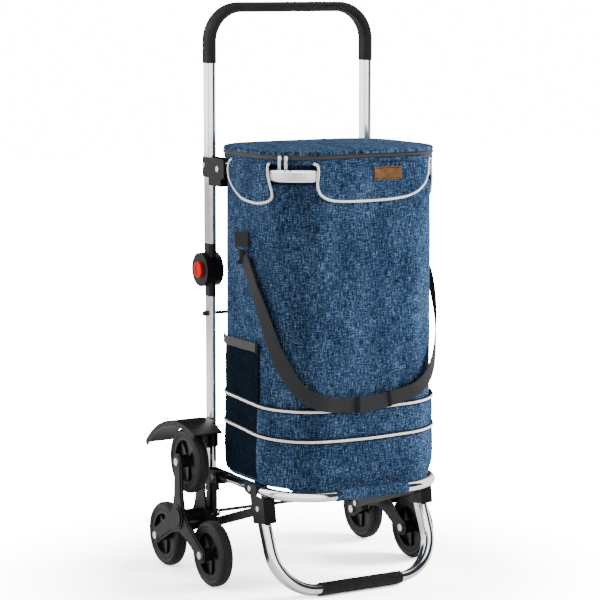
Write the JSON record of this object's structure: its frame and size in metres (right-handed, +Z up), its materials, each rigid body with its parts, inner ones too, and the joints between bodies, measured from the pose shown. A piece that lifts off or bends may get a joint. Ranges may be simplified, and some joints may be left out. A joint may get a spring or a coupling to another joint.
{
  "type": "folding shopping trolley",
  "caption": "Stair-climbing shopping trolley with a tall fabric bag on a folding two-tube frame, folding platform and foot, and star carriers of small wheels.",
  "frame": {"origin": "centre of the bounding box at floor level", "axes": "+X is the trolley's side that lies to the right when its bag front is faced, -Y is the bag's front, +Z is up"},
  "size_m": [0.489, 0.4484, 1.05],
  "materials": {
    "aluminium": "polished",
    "steel": "satin",
    "black_plastic": "moulded matte",
    "black_metal": "satin black",
    "grip_rubber": "matt foam",
    "red_plastic": "gloss",
    "tyre": "matt",
    "blue_fabric": "woven melange",
    "dark_fabric": "woven melange",
    "webbing": "webbing",
    "leather": "smooth",
    "board": "matt"
  },
  "bodies": {
    "frame": {"lower_tube_left": "aluminium", "lower_tube_right": "aluminium", "base_socket_left": "black_plastic", "base_socket_right": "black_plastic", "axle": "steel", "cross_rod": "black_metal", "mudguard_left": "black_plastic", "mudguard_right": "black_plastic", "hub_lower_left": "black_plastic", "hub_lower_right": "black_plastic", "hub_pins": "steel", "frame_rivets": "steel", "bag_body": "blue_fabric", "bag_neck": "blue_fabric", "bag_pockets": "dark_fabric", "flaps": "blue_fabric", "zip_track": "webbing", "zip_sliders": "steel", "label_patch": "leather", "shoulder_strap": "webbing", "strap_hooks": "black_plastic", "base_board": "board"},
    "handle": {"handle_tube": "aluminium", "handle_grip": "grip_rubber", "hub_upper_left": "black_plastic", "hub_upper_right": "black_plastic", "hoop_brackets": "black_plastic", "hoop_rivets": "steel"},
    "button_l": {"button_left": "red_plastic"},
    "button_r": {"button_right": "red_plastic"},
    "top_hoop_body": {"top_hoop": "aluminium"},
    "platform": {"platform_hoop": "aluminium", "hoop_plugs": "black_plastic", "platform_sleeve": "blue_fabric", "foot_rivets": "steel"},
    "foot": {"foot_tube": "aluminium", "foot_sleeve": "grip_rubber", "foot_brackets": "black_plastic", "foot_studs": "steel"},
    "brace_l": {"brace_left": "black_metal"},
    "brace_r": {"brace_right": "black_metal"},
    "lid": {"lid_panel": "blue_fabric"},
    "carrier_left": {"star_inner_left": "black_plastic", "star_outer_left": "black_plastic", "star_bolts_left": "steel"},
    "wheel_left_top": {"rim_left_top": "black_plastic", "tyre_left_top": "tyre"},
    "wheel_left_front": {"rim_left_front": "black_plastic", "tyre_left_front": "tyre"},
    "wheel_left_back": {"rim_left_back": "black_plastic", "tyre_left_back": "tyre"},
    "carrier_right": {"star_inner_right": "black_plastic", "star_outer_right": "black_plastic", "star_bolts_right": "steel"},
    "wheel_right_top": {"rim_right_top": "black_plastic", "tyre_right_top": "tyre"},
    "wheel_right_front": {"rim_right_front": "black_plastic", "tyre_right_front": "tyre"},
    "wheel_right_back": {"rim_right_back": "black_plastic", "tyre_right_back": "tyre"}
  },
  "joints": [
    {"name": "handle_fold", "type": "hinge", "parent": "frame", "child": "handle", "pos_m": [0, 0.09214, 0.565], "axis": [-1, 0, 0], "range_deg": [0, 165]},
    {"name": "button_left_press", "type": "slide", "parent": "frame", "child": "button_l", "axis": [1, 0, 0], "range_m": [0, 0.004], "stiffness_N_per_m": 600},
    {"name": "button_right_press", "type": "slide", "parent": "frame", "child": "button_r", "axis": [-1, 0, 0], "range_m": [0, 0.004], "stiffness_N_per_m": 600},
    {"name": "platform_fold", "type": "hinge", "parent": "frame", "child": "platform", "pos_m": [0, 0.05614, 0.184], "axis": [-1, 0, 0], "range_deg": [0, 80], "deforming": ["bag_body", "bag_neck", "bag_pockets", "flaps", "zip_track", "zip_sliders", "label_patch", "shoulder_strap", "strap_hooks", "base_board", "lid_panel"]},
    {"name": "top_hoop_fold", "type": "hinge", "parent": "handle", "child": "top_hoop_body", "pos_m": [0, 0.02914, 0.7535], "axis": [-1, 0, 0], "range_deg": [0, 80]},
    {"name": "foot_fold", "type": "hinge", "parent": "platform", "child": "foot", "pos_m": [0, -0.08686, 0.1905], "axis": [-1, 0, 0], "range_deg": [-90, 2]},
    {"name": "brace_left_fold", "type": "hinge", "parent": "frame", "child": "brace_l", "pos_m": [0, 0.08414, 0.092], "axis": [-1, 0, 0], "range_deg": [0, 56]},
    {"name": "brace_right_fold", "type": "hinge", "parent": "frame", "child": "brace_r", "pos_m": [0, 0.08414, 0.092], "axis": [-1, 0, 0], "range_deg": [0, 56]},
    {"name": "lid_open", "type": "hinge", "parent": "frame", "child": "lid", "pos_m": [0, 0.07714, 0.786], "axis": [-1, 0, 0], "range_deg": [0, 62]},
    {"name": "carrier_left_spin", "type": "hinge", "parent": "frame", "child": "carrier_left", "pos_m": [0, 0.07414, 0.112], "axis": [1, 0, 0], "continuous": true},
    {"name": "wheel_left_top_spin", "type": "hinge", "parent": "carrier_left", "child": "wheel_left_top", "pos_m": [0, 0.07414, 0.216], "axis": [1, 0, 0], "continuous": true},
    {"name": "wheel_left_front_spin", "type": "hinge", "parent": "carrier_left", "child": "wheel_left_front", "pos_m": [0, -0.01593, 0.06], "axis": [1, 0, 0], "continuous": true},
    {"name": "wheel_left_back_spin", "type": "hinge", "parent": "carrier_left", "child": "wheel_left_back", "pos_m": [0, 0.16421, 0.06], "axis": [1, 0, 0], "continuous": true},
    {"name": "carrier_right_spin", "type": "hinge", "parent": "frame", "child": "carrier_right", "pos_m": [0, 0.07414, 0.112], "axis": [1, 0, 0], "continuous": true},
    {"name": "wheel_right_top_spin", "type": "hinge", "parent": "carrier_right", "child": "wheel_right_top", "pos_m": [0, 0.07414, 0.216], "axis": [1, 0, 0], "continuous": true},
    {"name": "wheel_right_front_spin", "type": "hinge", "parent": "carrier_right", "child": "wheel_right_front", "pos_m": [0, -0.01593, 0.06], "axis": [1, 0, 0], "continuous": true},
    {"name": "wheel_right_back_spin", "type": "hinge", "parent": "carrier_right", "child": "wheel_right_back", "pos_m": [0, 0.16421, 0.06], "axis": [1, 0, 0], "continuous": true}
  ],
  "couplings": [
    {"joint": "top_hoop_fold", "follows": "platform_fold", "ratio": 1},
    {"joint": "foot_fold", "follows": "platform_fold", "ratio": -1.1},
    {"joint": "brace_left_fold", "follows": "platform_fold", "ratio": 0.65},
    {"joint": "brace_right_fold", "follows": "platform_fold", "ratio": 0.65}
  ]
}
